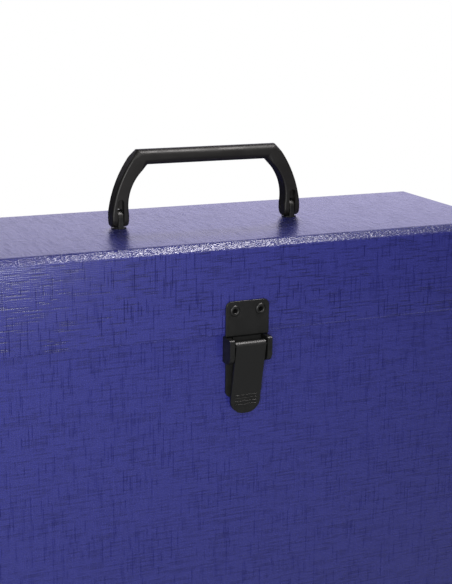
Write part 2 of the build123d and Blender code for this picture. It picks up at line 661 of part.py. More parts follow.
# ---------------------------------------------------------------- rivets and washers
def eyelet_rivet(stack):
    """A rivet along Z with its rolled head on z = 0 and its spread tail under the stack."""
    with BuildPart() as rivet:
        with BuildSketch(Plane.XZ):
            with BuildLine():
                crest = (RIVET_HEAD_R + RIVET_BORE_R) / 2
                Polyline(
                    (RIVET_HEAD_R, 0),
                    (RIVET_R, 0),
                    (RIVET_R, -stack),
                    (RIVET_TAIL_R, -stack),
                    (RIVET_TAIL_R - RIVET_TAIL_TAPER, -stack - RIVET_TAIL_H),
                    (RIVET_BORE_R, -stack - RIVET_TAIL_H),
                    (RIVET_BORE_R, 0),
                )
                ThreePointArc((RIVET_BORE_R, 0), (crest, RIVET_HEAD_H), (RIVET_HEAD_R, 0))
            make_face()
        revolve(axis=Axis.Z)
    return rivet.part


def flat_washer():
    """A washer along Z, lying just under z = 0."""
    with BuildPart() as washer:
        with BuildSketch():
            Circle(WASHER_R)
            Circle(RIVET_HOLE_R, mode=Mode.SUBTRACT)
        extrude(amount=-WASHER_T)
    return washer.part


def riveting(spots, face_y, outward, metal, stem):
    """Rivets through a metal piece and the wall behind it, and the washers inside the wall."""
    turn = 90 if outward < 0 else -90
    one_rivet = eyelet_rivet(metal + INNER_WALL + WASHER_T)
    with BuildPart() as rivets:
        with Locations(*[Location((x, face_y + outward * metal, z), (turn, 0, 0)) for x, z in spots]):
            add(one_rivet)
    finish(rivets, f"{stem}_rivets")
    one_washer = flat_washer()
    with BuildPart() as washers:
        with Locations(*[Location((x, face_y - outward * INNER_WALL, z), (turn, 0, 0)) for x, z in spots]):
            add(one_washer)
    finish(washers, f"{stem}_washers")


riveting(CATCH_SPOTS, -LID_Y, -1, PLATE_T, "catch_plate")
riveting(BASE_SPOTS, BODY_FRONT, -1, PLATE_T, "latch_bracket")
riveting(LID_LEAF_SPOTS, LID_Y, 1, LEAF_T, "hinge_lid")
riveting(BODY_LEAF_SPOTS, BODY_BACK, 1, LEAF_T, "hinge_body")
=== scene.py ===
import json
from math import atan2, copysign, cos, pi, radians, sin

import bmesh
import bpy
from mathutils import Matrix, Vector

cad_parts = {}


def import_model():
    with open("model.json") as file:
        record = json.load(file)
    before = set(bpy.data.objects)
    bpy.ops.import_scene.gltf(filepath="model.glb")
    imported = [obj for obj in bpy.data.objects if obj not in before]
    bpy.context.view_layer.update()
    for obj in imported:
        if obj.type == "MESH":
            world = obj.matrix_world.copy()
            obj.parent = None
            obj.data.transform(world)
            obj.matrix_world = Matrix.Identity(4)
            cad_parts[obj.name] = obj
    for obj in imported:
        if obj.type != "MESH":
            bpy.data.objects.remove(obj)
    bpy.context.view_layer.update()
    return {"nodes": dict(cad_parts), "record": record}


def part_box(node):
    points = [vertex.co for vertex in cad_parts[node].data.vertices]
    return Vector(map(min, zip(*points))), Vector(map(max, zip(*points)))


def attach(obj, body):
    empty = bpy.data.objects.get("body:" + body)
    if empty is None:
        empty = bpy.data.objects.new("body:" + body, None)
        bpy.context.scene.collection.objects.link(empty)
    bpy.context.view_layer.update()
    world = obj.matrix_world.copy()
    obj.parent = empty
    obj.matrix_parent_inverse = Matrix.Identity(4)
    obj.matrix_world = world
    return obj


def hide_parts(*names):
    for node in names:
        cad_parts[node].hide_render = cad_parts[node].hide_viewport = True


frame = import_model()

# Archival box covered in blue linen-embossed paper, with black steel fittings and a black moulded handle.
# Everything is in metres, in the CAD's frame: +X along the box, the latch faces -Y, +Z up.

NODES = frame["nodes"]
MM = 0.001

# The covering paper
COVER_T = 0.3 * MM
CORNER_ROUND = 0.9 * MM
CORNER_STEPS = 4
CORNER_TIGHTENING = 0.6  # how much tighter a corner is for each unit further in
CORNER_LEAST = 0.25 * MM
BEVEL = 4.0 * MM
THREAD_PITCH = 1.05 * MM
SLUB_LENGTH = 18.0 * MM
THREAD_DRIFT = 0.9  # how far threads wander, in pitches
ROW_SHIFT = 3.17  # how far each thread's slubs are shifted from its neighbour's
WEFT_SEED, WARP_SEED = 7.31, 5.83
DASH_SHARPNESS = 4.0
WEFT_PRESS, WARP_PRESS = 1.8, 0.7  # how deep the thin places lie, in thread heights
CRACKLE_PRESS = 7.0
RIVET_R = 1.85 * MM
LUG_SHANK_R = 2.55 * MM
HOLE_DEPTH = 2.0 * MM
BEYOND = 1.02  # a cutter starts this much further out than the face it goes through
LEVEL_NORMAL = 0.9  # a face whose normal rises more than this counts as level

# How finely round forms are divided
CIRCLE_STEPS = 24
LEG_SECTIONS = 22
SOLE_SECTIONS = 8
SECTION_STEPS = 6
ARCH_STEPS = 12
FLOOR_STEPS = 96
EDGE_STEPS = 3
HANDLE_EDGE_STEPS = 2

# Angles in degrees, and the distance at which split vertices are joined
SHARP_ANGLE = 50
FLAT_ANGLE = 0.5
EDGE_ANGLE, HANDLE_EDGE_ANGLE = 32, 38
JOIN_DISTANCE = 0.001 * MM

# Camera: the angle, distance and lens of the reference view
CAMERA_AT = (-0.29865, -0.71479, 0.42463)
CAMERA_AZIMUTH = -23.645
CAMERA_ELEVATION = 14.144
CAMERA_ROLL = 0.651
CAMERA_LENS, SENSOR_WIDTH = 76.84, 36

FLOOR_RADIUS = 1.4
FLOOR_DROP = 0.05 * MM  # keeps the floor clear of the box's underside

# The handle's outline, in millimetres from its middle and from the lid's top
BAR_TOP_HALF, BAR_BOTTOM_HALF = 46.3, 39.7
BAR_TOP, BAR_BOTTOM = 48.0, 38.6
LEG_OUT = ((46.3, 48.0), (59.2, 26.6), (63.6, 9.0))
LEG_IN = ((39.7, 38.6), (49.9, 27.2), (52.6, 9.0))
GRIP_HALF_DEPTH, BAR_THINNER = 5.05, 0.15
BAR_ROUND, LEG_ROUND = 4.2, 1.3
SOLE, SOLE_ROUND = 1.0, 4.8
FOOT_X, SLOT_HALF = 58.1, 2.1
SLOT_TOP, SLOT_THROUGH, SLOT_WEB_HALF = 18.3, 12.0, 0.8
POCKET_LAP = 2.0
PIVOT, PIN_R, BORE_REACH = 6.6, 1.5, 8.0


# ---------------------------------------------------------------- shader building
def wire(tree, kind, inputs=(), **settings):
    """A shader node with its settings, its inputs linked to sockets or set to plain values."""
    made = tree.nodes.new("ShaderNode" + kind)
    for key, value in settings.items():
        setattr(made, key, value)
    for key, value in dict(inputs).items():
        if isinstance(value, bpy.types.NodeSocket):
            tree.links.new(value, made.inputs[key])
        else:
            made.inputs[key].default_value = value
    return made


def maths(tree, operation, a, b=0.0, clamp=False):
    """The result of a Math node."""
    return wire(tree, "Math", {0: a, 1: b}, operation=operation, use_clamp=clamp).outputs[0]


def times(tree, a, b):
    """a multiplied by b."""
    return maths(tree, "MULTIPLY", a, b)


def plus(tree, a, b):
    """a and b together."""
    return maths(tree, "ADD", a, b)


def ramp(tree, value, low, high, to_low=0.0, to_high=1.0):
    """value's place between low and high, eased, as a number from to_low to to_high."""
    inputs = {"Value": value, "From Min": low, "From Max": high, "To Min": to_low, "To Max": to_high}
    return wire(tree, "MapRange", inputs, interpolation_type="SMOOTHSTEP").outputs[0]


def blend_colour(tree, share, first, second):
    """first where share is 0, second where it is 1."""
    mixer = wire(tree, "Mix", data_type="RGBA")
    for socket, value in ((mixer.inputs[0], share), (mixer.inputs[6], first), (mixer.inputs[7], second)):
        if isinstance(value, bpy.types.NodeSocket):
            tree.links.new(value, socket)
        else:
            socket.default_value = value
    return mixer.outputs[2]


def noise(tree, vector, scale, detail=2.0, roughness=0.5, flat=False):
    """A noise value over a vector, in two dimensions when flat."""
    inputs = {"Vector": vector, "Scale": scale, "Detail": detail, "Roughness": roughness}
    return wire(tree, "TexNoise", inputs, noise_dimensions="2D" if flat else "3D").outputs[0]


def stretched(tree, vector, scales, shift=(0.0, 0.0, 0.0)):
    """A vector scaled along each axis, for patterns that run longer one way."""
    return wire(tree, "Mapping", {"Vector": vector, "Scale": scales, "Location": shift}).outputs[0]


def new_material(name):
    """An empty material with its output node, as (material, tree, output)."""
    material = bpy.data.materials.new(name)
    material.use_nodes = True
    tree = material.node_tree
    tree.nodes.clear()
    return material, tree, tree.nodes.new("ShaderNodeOutputMaterial")


def finish_material(made, principled_inputs):
    """Closes a material with one Principled shader."""
    material, tree, output = made
    shader = wire(tree, "BsdfPrincipled", principled_inputs)
    tree.links.new(shader.outputs[0], output.inputs[0])
    return material


def paint(piece, material):
    """The piece wears one material."""
    piece.data.materials.clear()
    piece.data.materials.append(material)


# ---------------------------------------------------------------- materials
def threads(tree, along, across, seed):
    """Threads that run one way: how thick each is along its length, and its round profile."""
    place = wire(tree, "CombineXYZ", {0: along, 1: across}).outputs[0]
    drift = noise(tree, place, 9.0, 0.0, 0.5, flat=True)
    pitches = maths(tree, "DIVIDE", across, THREAD_PITCH)
    pitches = plus(tree, pitches, times(tree, drift, THREAD_DRIFT))
    row = maths(tree, "FLOOR", pitches)
    way = maths(tree, "DIVIDE", along, SLUB_LENGTH)
    way = plus(tree, way, times(tree, row, ROW_SHIFT))
    own = wire(tree, "CombineXYZ", {0: way, 1: times(tree, row, seed)}).outputs[0]
    slub = noise(tree, own, 1.0, 1.5, 0.5, flat=True)
    profile = maths(tree, "SINE", times(tree, maths(tree, "FRACT", pitches), pi))
    return slub, profile


def linen(tree, sheet, stretch, crackle, relief_depth):
    """The linen pattern: its grooves with painted shade, those of its warp alone, its mesh of threads, its
    relief.
    """
    axes = wire(tree, "SeparateXYZ", {0: sheet})
    u, v = axes.outputs["X"], axes.outputs["Y"]
    weft, weft_profile = threads(tree, u, v, WEFT_SEED)
    warp, warp_profile = threads(tree, v, u, WARP_SEED)
    patches = noise(tree, sheet, 28.0, 2.0, 0.5, flat=True)
    tooth = noise(tree, sheet, 2600.0, 1.0, 0.5, flat=True)

    # Thin places between threads lie deep and have shade painted dark into them, less so on the top, and the
    # stretched folds have none
    depth = maths(tree, "SUBTRACT", ramp(tree, patches, 0.36, 0.60, 0.55, 1.0), stretch, clamp=True)
    depth = times(tree, depth, relief_depth)
    facing = wire(tree, "SeparateXYZ", {0: wire(tree, "TexCoord").outputs["Normal"]}).outputs["Z"]
    depth = times(tree, depth, ramp(tree, facing, 0.75, 0.95, 1.0, 0.35))
    weft_line = maths(tree, "POWER", weft_profile, DASH_SHARPNESS)
    warp_line = maths(tree, "POWER", warp_profile, DASH_SHARPNESS)
    weft_dash = times(tree, ramp(tree, weft, 0.50, 0.34), weft_line)
    warp_dash = times(tree, ramp(tree, warp, 0.43, 0.29), warp_line)
    # The thin places' mask, along which shade is painted into the colour
    groove_shade = times(tree, maths(tree, "MAXIMUM", weft_dash, warp_dash), depth)

    weft_height = times(tree, weft_profile, ramp(tree, weft, 0.3, 0.7, 0.4, 1.2))
    warp_height = times(tree, warp_profile, ramp(tree, warp, 0.3, 0.7, 0.3, 1.0))
    mesh = maths(tree, "MAXIMUM", weft_height, warp_height)
    weft_press, warp_press = times(tree, weft_dash, WEFT_PRESS), times(tree, warp_dash, WARP_PRESS)
    pressed = times(tree, maths(tree, "MAXIMUM", weft_press, warp_press), depth)
    relief = maths(tree, "SUBTRACT", mesh, pressed)
    relief = plus(tree, relief, times(tree, tooth, 0.15))
    relief = plus(tree, relief, times(tree, times(tree, crackle, stretch), CRACKLE_PRESS))
    return groove_shade, warp_dash, mesh, relief


def embossed_paper(name, relief_depth):
    """Blue paper embossed like linen, under a film that shines at low angles and crackles on the folds."""
    made = new_material(name)
    tree = made[1]
    sheet = wire(tree, "UVMap", uv_map="sheet").outputs[0]
    stretch = wire(tree, "Attribute", attribute_name="stretch").outputs["Fac"]
    wear_and_highlight = wire(tree, "Attribute", attribute_name="wear_and_highlight").outputs["Fac"]
    crackle = noise(tree, stretched(tree, sheet, (560, 1700, 1)), 1.0, 1.0, 0.5, flat=True)
    groove_shade, warp_dash, mesh, relief = linen(tree, sheet, stretch, crackle, relief_depth)
    bump = wire(tree, "Bump", {"Height": relief, "Strength": 1.0, "Distance": 0.045 * MM})

    blue = (0.0155, 0.0168, 0.125, 1)
    # Painted highlight for the thread crests
    light = (0.0230, 0.0250, 0.162, 1)
    # Painted shade for the thin places between threads
    deep = (0.0016, 0.0020, 0.050, 1)
    # Pale lavender: partly paper scuffed on the edges, partly painted highlight along the bevel's lower edge
    # and the rim
    worn_and_highlit = (0.16, 0.16, 0.36, 1)
    # Crests painted lighter as highlight, by thread height
    colour = blend_colour(tree, ramp(tree, mesh, 0.2, 0.85), blue, light)
    colour = blend_colour(tree, groove_shade, colour, deep)
    # Edges painted pale, broken up by the crackle: partly scuffing, partly painted highlight lines
    rubbed_and_highlit = times(tree, wear_and_highlight, ramp(tree, crackle, 0.50, 0.66))
    colour = blend_colour(tree, times(tree, rubbed_and_highlit, 0.6), colour, worn_and_highlit)
    return finish_material(made, {
        "Base Color": colour,
        "Roughness": ramp(tree, mesh, 0.2, 0.85, 0.32, 0.26),
        "Specular IOR Level": maths(tree, "SUBTRACT", 0.5, times(tree, warp_dash, 0.35)),
        "Normal": bump.outputs[0],
        "IOR": 1.5,
    })


def plain_paper(name, colour, fibre_colour, roughness):
    """Uncoated paper: soft cloudy pulp, short fibres and a fine tooth."""
    made = new_material(name)
    tree = made[1]
    place = wire(tree, "TexCoord").outputs["Object"]
    cloud = noise(tree, place, 60.0, 3.0, 0.6)
    fibres = noise(tree, stretched(tree, place, (900, 260, 500)), 1.0, 3.0, 0.65)
    tooth = noise(tree, place, 2400.0, 2.0, 0.6)
    mixed = plus(tree, times(tree, cloud, 0.5), times(tree, fibres, 0.5))
    surface = blend_colour(tree, ramp(tree, mixed, 0.38, 0.62), colour, fibre_colour)
    height = plus(tree, times(tree, fibres, 0.6), times(tree, tooth, 0.4))
    bump = wire(tree, "Bump", {"Height": height, "Strength": 0.5, "Distance": 0.04 * MM})
    return finish_material(made, {
        "Base Color": surface,
        "Roughness": ramp(tree, cloud, 0.3, 0.7, roughness - 0.05, roughness + 0.05),
        "Normal": bump.outputs[0],
    })


def moulded_plastic(name, colour, roughness):
    """Black moulded plastic with a fine spark-eroded grain, smoother and greyer on its edges, partly from
    scuffing and partly as painted edge highlight.
    """
    made = new_material(name)
    tree = made[1]
    place = wire(tree, "TexCoord").outputs["Object"]
    grain = noise(tree, place, 2100.0, 2.0, 0.6)
    smear = noise(tree, place, 90.0, 3.0, 0.6)
    edge = ramp(tree, wire(tree, "NewGeometry").outputs["Pointiness"], 0.51, 0.60)
    # Edges painted greyer: partly scuffing, partly painted edge highlight
    worn_and_highlit = tuple(c * 2.2 + 0.003 for c in colour[:3]) + (1,)
    surface = blend_colour(tree, times(tree, edge, 0.7), colour, worn_and_highlit)
    bump = wire(tree, "Bump", {"Height": grain, "Strength": 0.55, "Distance": 0.03 * MM})
    rough = ramp(tree, smear, 0.3, 0.7, roughness - 0.05, roughness + 0.07)
    return finish_material(made, {
        "Base Color": surface,
        "Roughness": maths(tree, "SUBTRACT", rough, times(tree, edge, 0.06)),
        "Specular IOR Level": 0.3,
        "Normal": bump.outputs[0],
        "IOR": 1.5,
    })


def painted_steel():
    """Black stoved enamel on pressed steel: slight orange peel, duller patches, edges painted lighter,
    partly scuffing and partly painted edge highlight.
    """
    made = new_material("black_steel")
    tree = made[1]
    place = wire(tree, "TexCoord").outputs["Object"]
    peel = noise(tree, place, 900.0, 2.0, 0.5)
    patches = noise(tree, place, 160.0, 3.0, 0.6)
    scratches = noise(tree, stretched(tree, place, (2600, 300, 180)), 1.0, 3.0, 0.6)
    edge = ramp(tree, wire(tree, "NewGeometry").outputs["Pointiness"], 0.51, 0.60)
    # Edges painted lighter: partly scuffed enamel, partly painted edge highlight
    rubbed_and_highlit = times(tree, edge, ramp(tree, scratches, 0.42, 0.62, 0.0, 0.4))
    surface = blend_colour(tree, rubbed_and_highlit, (0.0038, 0.0039, 0.0039, 1), (0.016, 0.0155, 0.015, 1))
    bump = wire(tree, "Bump", {"Height": peel, "Strength": 0.35, "Distance": 0.03 * MM})
    rough = ramp(tree, patches, 0.3, 0.7, 0.40, 0.50)
    return finish_material(made, {
        "Base Color": surface,
        "Roughness": maths(tree, "SUBTRACT", rough, times(tree, rubbed_and_highlit, 0.08)),
        "Specular IOR Level": 0.27,
        "Normal": bump.outputs[0],
        "IOR": 1.55,
    })


def bare_steel(name, colour, roughness):
    """Plated steel with turned scratches and dull spots."""
    made = new_material(name)
    tree = made[1]
    place = wire(tree, "TexCoord").outputs["Object"]
    scratches = noise(tree, stretched(tree, place, (300, 2400, 2400)), 1.0, 3.0, 0.6)
    spots = noise(tree, place, 420.0, 3.0, 0.6)
    dull = tuple(c * 0.55 for c in colour[:3]) + (1,)
    surface = blend_colour(tree, ramp(tree, spots, 0.45, 0.68), colour, dull)
    bump = wire(tree, "Bump", {"Height": scratches, "Strength": 0.3, "Distance": 0.02 * MM})
    return finish_material(made, {
        "Base Color": surface,
        "Metallic": 1.0,
        "Roughness": ramp(tree, scratches, 0.3, 0.7, roughness - 0.06, roughness + 0.08),
        "Normal": bump.outputs[0],
    })


def grey_board():
    """Cut greyboard: pressed layers with recycled flecks."""
    made = new_material("greyboard")
    tree = made[1]
    place = wire(tree, "TexCoord").outputs["Object"]
    layers = noise(tree, stretched(tree, place, (120, 120, 120)), 6.0, 4.0, 0.7)
    flecks = noise(tree, place, 1300.0, 2.0, 0.6)
    dark, pale = (0.19, 0.175, 0.155, 1), (0.27, 0.255, 0.23, 1)
    surface = blend_colour(tree, ramp(tree, layers, 0.35, 0.65), dark, pale)
    surface = blend_colour(tree, ramp(tree, flecks, 0.62, 0.72), surface, (0.07, 0.07, 0.075, 1))
    bump = wire(tree, "Bump", {"Height": layers, "Strength": 0.5, "Distance": 0.1 * MM})
    return finish_material(made, {"Base Color": surface, "Roughness": 0.88, "Normal": bump.outputs[0]})


def floor_paint():
    """The plain pale floor."""
    made = new_material("pale_floor")
    tree = made[1]
    place = wire(tree, "TexCoord").outputs["Object"]
    surface = blend_colour(tree, noise(tree, place, 3.0), (0.60, 0.60, 0.61, 1), (0.62, 0.62, 0.62, 1))
    return finish_material(made, {"Base Color": surface, "Roughness": 0.85})


# ---------------------------------------------------------------- pieces
def rounded_ring(half_x, half_y, radius):
    """The corners of a rounded rectangle, counter-clockwise from the front right."""
    ring = []
    for sx, sy, start in ((1, -1, -90), (1, 1, 0), (-1, 1, 90), (-1, -1, 180)):
        for step in range(CORNER_STEPS + 1):
            angle = radians(start + 90 * step / CORNER_STEPS)
            x = sx * (half_x - radius) + radius * cos(angle)
            y = sy * (half_y - radius) + radius * sin(angle)
            ring.append((x, y))
    return ring


def sheet_map(bm, run):
    """UVs in metres over the sheet, along its threads. run holds each vertex's way down the sheet."""
    uv = bm.loops.layers.uv.new("sheet")
    for face in bm.faces:
        n = face.normal
        level = abs(n.z) > LEVEL_NORMAL
        for loop in face.loops:
            x, y, z = loop.vert.co
            if level:
                loop[uv].uv = (x, y)
            elif abs(n.x) > abs(n.y):
                loop[uv].uv = (y, -loop.vert[run])
            else:
                loop[uv].uv = (x, -loop.vert[run])


def lid_paper():
    """The lid's cover: one sheet over the top, bevels and skirt, round the rim and a little way inside."""
    low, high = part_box("lid_cover")
    half_x, half_y = high.x, high.y
    top, rim = high.z, low.z
    board_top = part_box("lid_top_board")[1].z
    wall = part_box("lid_front_board")[1].y + half_y + COVER_T
    turn_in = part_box("lid_lining")[0].z
    t = COVER_T

    # Down the outside of the sheet, then back inside it: inset, height, how stretched, and how scuffed and
    # painted with edge highlight
    outside = [
        (BEVEL + 1.6 * MM, top, 0, 0),
        (BEVEL + 1.0 * MM, top - 0.05 * MM, 0, 0),
        (BEVEL + 0.5 * MM, top - 0.17 * MM, 0, 0),
        (BEVEL + 0.05 * MM, top - 0.24 * MM, 0.2, 0.1),
        (BEVEL - 0.35 * MM, top - 0.42 * MM, 0.7, 0.3),
        (BEVEL - 0.8 * MM, top - 0.78 * MM, 1, 0.1),
        (BEVEL * 0.5, top - BEVEL * 0.5 + 0.03 * MM, 1, 0.1),
        (0.62 * MM, top - BEVEL + 0.60 * MM, 1, 0.5),
        (0.30 * MM, top - BEVEL + 0.22 * MM, 1, 1),
        (0.10 * MM, top - BEVEL - 0.18 * MM, 0.6, 0.8),
        (0.0, top - BEVEL - 0.7 * MM, 0, 0),
        (0.0, rim + 0.9 * MM, 0, 0),
        (0.04 * MM, rim + 0.42 * MM, 0, 0.1),
        (0.20 * MM, rim + 0.12 * MM, 0, 0.6),
        (0.55 * MM, rim, 0, 0.3),
        (wall - 0.5 * MM, rim, 0, 0.2),
        (wall - 0.12 * MM, rim + 0.12 * MM, 0, 0.6),
        (wall, rim + 0.5 * MM, 0, 0.2),
        (wall, turn_in, 0, 0),
    ]
    inside = [
        (wall - t, turn_in, 0, 0),
        (wall - t, rim + 0.6 * MM, 0, 0),
        (wall - t - 0.3 * MM, rim + t, 0, 0),
        (t + 0.3 * MM, rim + t, 0, 0),
        (t, rim + 0.7 * MM, 0, 0),
        (t, top - BEVEL - 0.15 * MM, 0, 0),
        (BEVEL + 0.4 * MM, board_top - 0.1 * MM, 0, 0),
        (BEVEL + 1.6 * MM, board_top, 0, 0),
    ]
    bm = bmesh.new()
    run = bm.verts.layers.float.new("run")
    stretch = bm.verts.layers.float.new("stretch")
    # Per-vertex share of the pale edge colour: partly scuffing, partly painted highlight
    wear_and_highlight = bm.verts.layers.float.new("wear_and_highlight")
    rings, way, previous = [], half_y - BEVEL, None
    for inset, z, pulled, rubbed_and_highlit in outside + inside:
        if previous:
            way += (Vector((inset, z)) - Vector(previous)).length
        previous = (inset, z)
        radius = max(CORNER_ROUND - CORNER_TIGHTENING * inset, CORNER_LEAST)
        outline = rounded_ring(half_x - inset, half_y - inset, radius)
        ring = [bm.verts.new((x, y, z)) for x, y in outline]
        for vert in ring:
            vert[run], vert[stretch], vert[wear_and_highlight] = way, pulled, rubbed_and_highlit
        rings.append(ring)
    bm.faces.new(rings[0])
    bm.faces.new(reversed(rings[-1]))
    count = len(rings[0])
    for upper, lower in zip(rings, rings[1:]):
        for i in range(count):
            j = (i + 1) % count
            bm.faces.new((upper[i], lower[i], lower[j], upper[j]))
    bm.normal_update()
    bmesh.ops.recalc_face_normals(bm, faces=bm.faces)
    sheet_map(bm, run)
    piece = piece_from(bm, "lid_paper", "lid", "embossed_paper", "lid_cover")
    for node, outer in (("catch_plate_rivets", -half_y), ("hinge_lid_rivets", half_y)):
        for near, far in solids(node):
            hole = circle((near.x + far.x) / 2, (near.z + far.z) / 2, RIVET_R)
            start, end = sorted((outer * BEYOND, outer - copysign(HOLE_DEPTH, outer)))
            cut(piece, hole, "Y", start, end)
    for node in ("handle_lug_left", "handle_lug_right"):
        near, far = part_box(node)
        hole = circle((near.x + far.x) / 2, (near.y + far.y) / 2, LUG_SHANK_R)
        cut(piece, hole, "Z", top - HOLE_DEPTH, top + HOLE_DEPTH / 2)
    settle(piece)
    return piece


def settle(piece):
    """Smooth shading with hard edges kept."""
    piece.data.shade_smooth()
    piece.data.set_sharp_from_angle(angle=radians(SHARP_ANGLE))


def piece_from(bm, name, body, slot, *replaced):
    """A finished piece from a bmesh: it rides on its body and stands for its CAD nodes."""
    mesh = bpy.data.meshes.new(name)
    bm.to_mesh(mesh)
    bm.free()
    piece = bpy.data.objects.new(name, mesh)
    bpy.context.scene.collection.objects.link(piece)
    settle(piece)
    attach(piece, body)
    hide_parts(*replaced)
    return piece


def clean_copy(node, above=-1.0):
    """A bmesh of a CAD node with its split vertices joined, and its flat faces whole above a height."""
    bm = bmesh.new()
    bm.from_mesh(NODES[node].data)
    bmesh.ops.remove_doubles(bm, verts=bm.verts, dist=JOIN_DISTANCE)
    verts = [vert for vert in bm.verts if vert.co.z > above]
    edges = [edge for edge in bm.edges if max(vert.co.z for vert in edge.verts) > above]
    bmesh.ops.dissolve_limit(bm, angle_limit=radians(FLAT_ANGLE), verts=verts, edges=edges)
    return bm


def solids(node):
    """The lowest and highest corner of each separate solid in a CAD node."""
    bm = clean_copy(node)
    left, found = set(bm.verts), []
    while left:
        to_visit, group = [left.pop()], []
        while to_visit:
            vert = to_visit.pop()
            group.append(vert.co.copy())
            for edge in vert.link_edges:
                other = edge.other_vert(vert)
                if other in left:
                    left.remove(other)
                    to_visit.append(other)
        found.append([Vector(f(p[i] for p in group) for i in range(3)) for f in (min, max)])
    bm.free()
    return sorted(found, key=lambda pair: tuple(pair[0]))


def cut(piece, outline, direction, start, end):
    """Takes a straight prism out of a piece: outline's points lie across direction, from start to end."""
    bm = bmesh.new()
    rings = []
    for place in (start, end):
        ring = []
        for a, b in outline:
            point = [a, b]
            point.insert("XYZ".index(direction), place)
            ring.append(bm.verts.new(point))
        rings.append(ring)
    bm.faces.new(rings[0])
    bm.faces.new(rings[1])
    for i, corner in enumerate(rings[0]):
        j = (i + 1) % len(rings[0])
        bm.faces.new((corner, rings[0][j], rings[1][j], rings[1][i]))
    bmesh.ops.recalc_face_normals(bm, faces=bm.faces)
    mesh = bpy.data.meshes.new("cutter")
    bm.to_mesh(mesh)
    bm.free()
    cutter = bpy.data.objects.new("cutter", mesh)
    bpy.context.scene.collection.objects.link(cutter)
    taken = piece.modifiers.new("cut", "BOOLEAN")
    taken.operation = "DIFFERENCE"
    taken.solver = "EXACT"
    taken.object = cutter
    evaluated = piece.evaluated_get(bpy.context.evaluated_depsgraph_get())
    settled = bpy.data.meshes.new_from_object(evaluated)
    piece.modifiers.remove(taken)
    old, piece.data = piece.data, settled
    settled.name = piece.name
    bpy.data.objects.remove(cutter)
    bpy.data.meshes.remove(mesh)
    bpy.data.meshes.remove(old)


def circle(a, b, radius):
    """Points round a circle."""
    turns = [2 * pi * i / CIRCLE_STEPS for i in range(CIRCLE_STEPS)]
    return [(a + radius * cos(turn), b + radius * sin(turn)) for turn in turns]


def arc_points(points, count):
    """count points along the arc through three points, ends included."""
    (ax, az), (bx, bz), (cx, cz) = points
    d = 2 * (ax * (bz - cz) + bx * (cz - az) + cx * (az - bz))
    a2, b2, c2 = ax * ax + az * az, bx * bx + bz * bz, cx * cx + cz * cz
    mx = (a2 * (bz - cz) + b2 * (cz - az) + c2 * (az - bz)) / d
    mz = (a2 * (cx - bx) + b2 * (ax - cx) + c2 * (bx - ax)) / d
    first, last = atan2(az - mz, ax - mx), atan2(cz - mz, cx - mx)
    radius = ((ax - mx) ** 2 + (az - mz) ** 2) ** 0.5
    return [
        (mx + radius * cos(first + (last - first) * i / (count - 1)),
         mz + radius * sin(first + (last - first) * i / (count - 1)))
        for i in range(count)
    ]


def handle_stations():
    """Sections from the bar's middle to a foot: outer point, inner point, edge rounding and half depth."""
    stations = []
    for share in (0.0, 0.4, 0.8, 0.93, 0.985):
        outer, inner = (share * BAR_TOP_HALF, BAR_TOP), (share * BAR_BOTTOM_HALF, BAR_BOTTOM)
        stations.append((outer, inner, BAR_ROUND, GRIP_HALF_DEPTH - BAR_THINNER))
    legs = zip(arc_points(LEG_OUT, LEG_SECTIONS), arc_points(LEG_IN, LEG_SECTIONS))
    for i, (outer, inner) in enumerate(legs):
        eased = min(1.0, i / 3)
        rounding = BAR_ROUND + (LEG_ROUND - BAR_ROUND) * eased
        stations.append((outer, inner, rounding, GRIP_HALF_DEPTH - BAR_THINNER * (1 - eased)))
    outer_x, inner_x = LEG_OUT[2][0], LEG_IN[2][0]
    for i in range(SOLE_SECTIONS + 1):
        turn = pi / 2 * i / SOLE_SECTIONS
        z = SOLE + SOLE_ROUND * (1 - sin(turn))
        half = GRIP_HALF_DEPTH - SOLE_ROUND * (1 - cos(turn))
        pinch = LEG_ROUND * max(0.0, (i - 4) / 4) * 0.6
        stations.append(((outer_x - pinch, z), (inner_x + pinch, z), min(LEG_ROUND, half * 0.6), half))
    return stations


def handle_section(station, side, lid_top):
    """The points round one of the handle's sections, on the left or right side."""
    (ox, oz), (ix, iz), rounding, half = station
    outer, inner = Vector((side * ox, 0, oz)), Vector((side * ix, 0, iz))
    middle, reach = (outer + inner) / 2, (outer - inner).length / 2
    way = (outer - inner).normalized()
    points = []
    for su, sv, start in ((1, 1, 0), (-1, 1, 90), (-1, -1, 180), (1, -1, 270)):
        for step in range(SECTION_STEPS + 1):
            angle = radians(start + 90 * step / SECTION_STEPS)
            u = su * (reach - rounding) + rounding * cos(angle)
            v = sv * (half - rounding) + rounding * sin(angle)
            point = middle + u * way + Vector((0, v, 0))
            points.append(point * MM + Vector((0, 0, lid_top)))
    return points


